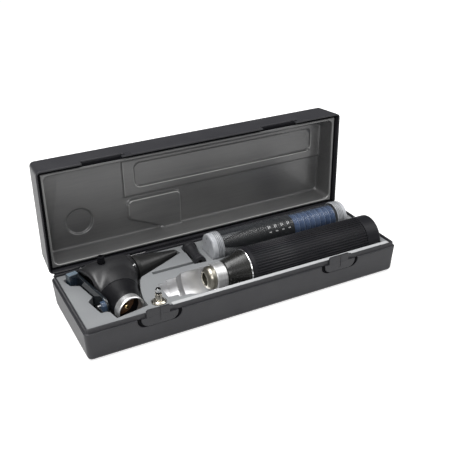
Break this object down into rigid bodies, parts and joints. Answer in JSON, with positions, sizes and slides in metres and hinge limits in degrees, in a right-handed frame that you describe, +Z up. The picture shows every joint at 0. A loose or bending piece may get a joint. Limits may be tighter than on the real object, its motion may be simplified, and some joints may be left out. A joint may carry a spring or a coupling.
{
  "type": "otoscope carry case",
  "caption": "Hinged rectangular plastic case, lid open, with a battery otoscope head, ribbed handle, specula tube and spare lamp in a formed tray.",
  "frame": {"origin": "centre of the base's flat underside, on the surface the case stands on", "axes": "+X right along the front, +Y from the latches to the hinge, +Z up"},
  "size_m": [0.229, 0.1003, 0.0957],
  "materials": {
    "case_plastic": "fine grained dark grey, almost black",
    "tray_grey": "matt grey formed sheet, silvered in the deep recess",
    "liner_grey": "satin dark grey formed sheet",
    "latch_plastic": "smooth dark grey",
    "pin_steel": "drawn",
    "neck_nickel": "polished nickel",
    "ring_metal": "brushed round",
    "cone_black": "polished",
    "chrome": "mirror",
    "grip_black": "matt ribbed",
    "cell_jacket": "satin jacket",
    "spring_steel": "bright",
    "insulator_black": "moulded",
    "insulator_brown": "moulded",
    "brass": "turned",
    "head_black": "satin moulded",
    "speculum_black": "satin",
    "speculum_blue": "translucent",
    "lens_blue": "tinted, polished",
    "tube_clear": "clear moulded",
    "cap_clear": "milky moulded",
    "lamp_metal": "nickel",
    "lamp_glass": "clear"
  },
  "bodies": {
    "case": {"base_shell": "case_plastic", "base_tray": "tray_grey", "hinge_pins": "pin_steel"},
    "lid": {"lid_shell": "case_plastic", "lid_liner": "liner_grey", "latch_keepers": "latch_plastic"},
    "latch_left": {"latch_left": "latch_plastic"},
    "latch_right": {"latch_right": "latch_plastic"},
    "handle": {"handle_neck": "neck_nickel", "contact_insulator": "insulator_black", "contact_pin": "brass", "handle_cone": "cone_black", "chrome_ring": "chrome", "handle_sleeve": "grip_black", "battery_front": "cell_jacket", "battery_rear": "cell_jacket"},
    "control_ring": {"control_ring": "ring_metal"},
    "end_cap": {"handle_end_cap": "grip_black", "cap_spring": "spring_steel"},
    "otoscope": {"head_housing": "head_black", "neck_housing": "head_black", "neck_ring": "ring_metal", "socket_insulator": "insulator_brown", "socket_contact": "brass", "head_lamp": "lamp_metal", "insufflation_port": "head_black", "front_screw": "pin_steel", "lens_pivot": "pin_steel"},
    "lens": {"swivel_lens": "lens_blue"},
    "speculum": {"head_speculum": "speculum_black"},
    "tube": {"tube_barrel": "tube_clear", "specula_black": "speculum_black", "specula_blue": "speculum_blue"},
    "tube_cap_left": {"tube_cap_left": "cap_clear"},
    "tube_cap_right": {"tube_cap_right": "cap_clear"},
    "spare_lamp": {"spare_lamp_base": "lamp_metal", "spare_lamp_glass": "lamp_glass"},
    "spare_adapter": {"spare_adapter": "head_black"}
  },
  "joints": [
    {"name": "lid_hinge", "type": "hinge", "parent": "case", "child": "lid", "pos_m": [0, 0.0386, 0.02], "axis": [-1, 0, 0], "range_deg": [-90, 0]},
    {"name": "latch_left_slide", "type": "slide", "parent": "case", "child": "latch_left", "axis": [1, 0, 0], "range_m": [-0.0024, 0.0024]},
    {"name": "latch_right_slide", "type": "slide", "parent": "case", "child": "latch_right", "axis": [1, 0, 0], "range_m": [-0.0024, 0.0024]},
    {"name": "handle_lift", "type": "slide", "parent": "case", "child": "handle", "axis": [0, 0, 1], "range_m": [0, 0.06]},
    {"name": "control_ring_turn", "type": "hinge", "parent": "handle", "child": "control_ring", "pos_m": [-0.016, -0.0148, 0.0212], "axis": [1, 0, 0], "range_deg": [0, 110]},
    {"name": "end_cap_turn", "type": "hinge", "parent": "handle", "child": "end_cap", "pos_m": [0.101, -0.0148, 0.0212], "axis": [1, 0, 0], "range_deg": [0, 540]},
    {"name": "otoscope_lift", "type": "slide", "parent": "case", "child": "otoscope", "axis": [0, 0, 1], "range_m": [0, 0.06]},
    {"name": "lens_swivel", "type": "hinge", "parent": "otoscope", "child": "lens", "pos_m": [-0.09494, -0.01177, 0.02083], "axis": [0.9816, 0.1908, 0], "range_deg": [0, 90]},
    {"name": "speculum_twist", "type": "hinge", "parent": "otoscope", "child": "speculum", "pos_m": [-0.06053, 0.02088, 0.0215], "axis": [0.9816, 0.1908, 0], "range_deg": [0, 30]},
    {"name": "tube_lift", "type": "slide", "parent": "case", "child": "tube", "axis": [0, 0, 1], "range_m": [0, 0.06]},
    {"name": "tube_cap_left_twist", "type": "hinge", "parent": "tube", "child": "tube_cap_left", "pos_m": [-0.005, 0.0144, 0.026], "axis": [1, 0, 0], "continuous": true},
    {"name": "tube_cap_right_twist", "type": "hinge", "parent": "tube", "child": "tube_cap_right", "pos_m": [0.0975, 0.0144, 0.026], "axis": [1, 0, 0], "continuous": true},
    {"name": "spare_lamp_lift", "type": "slide", "parent": "case", "child": "spare_lamp", "axis": [0, 0, 1], "range_m": [0, 0.06]},
    {"name": "spare_adapter_lift", "type": "slide", "parent": "case", "child": "spare_adapter", "axis": [0, 0, 1], "range_m": [0, 0.06]}
  ]
}
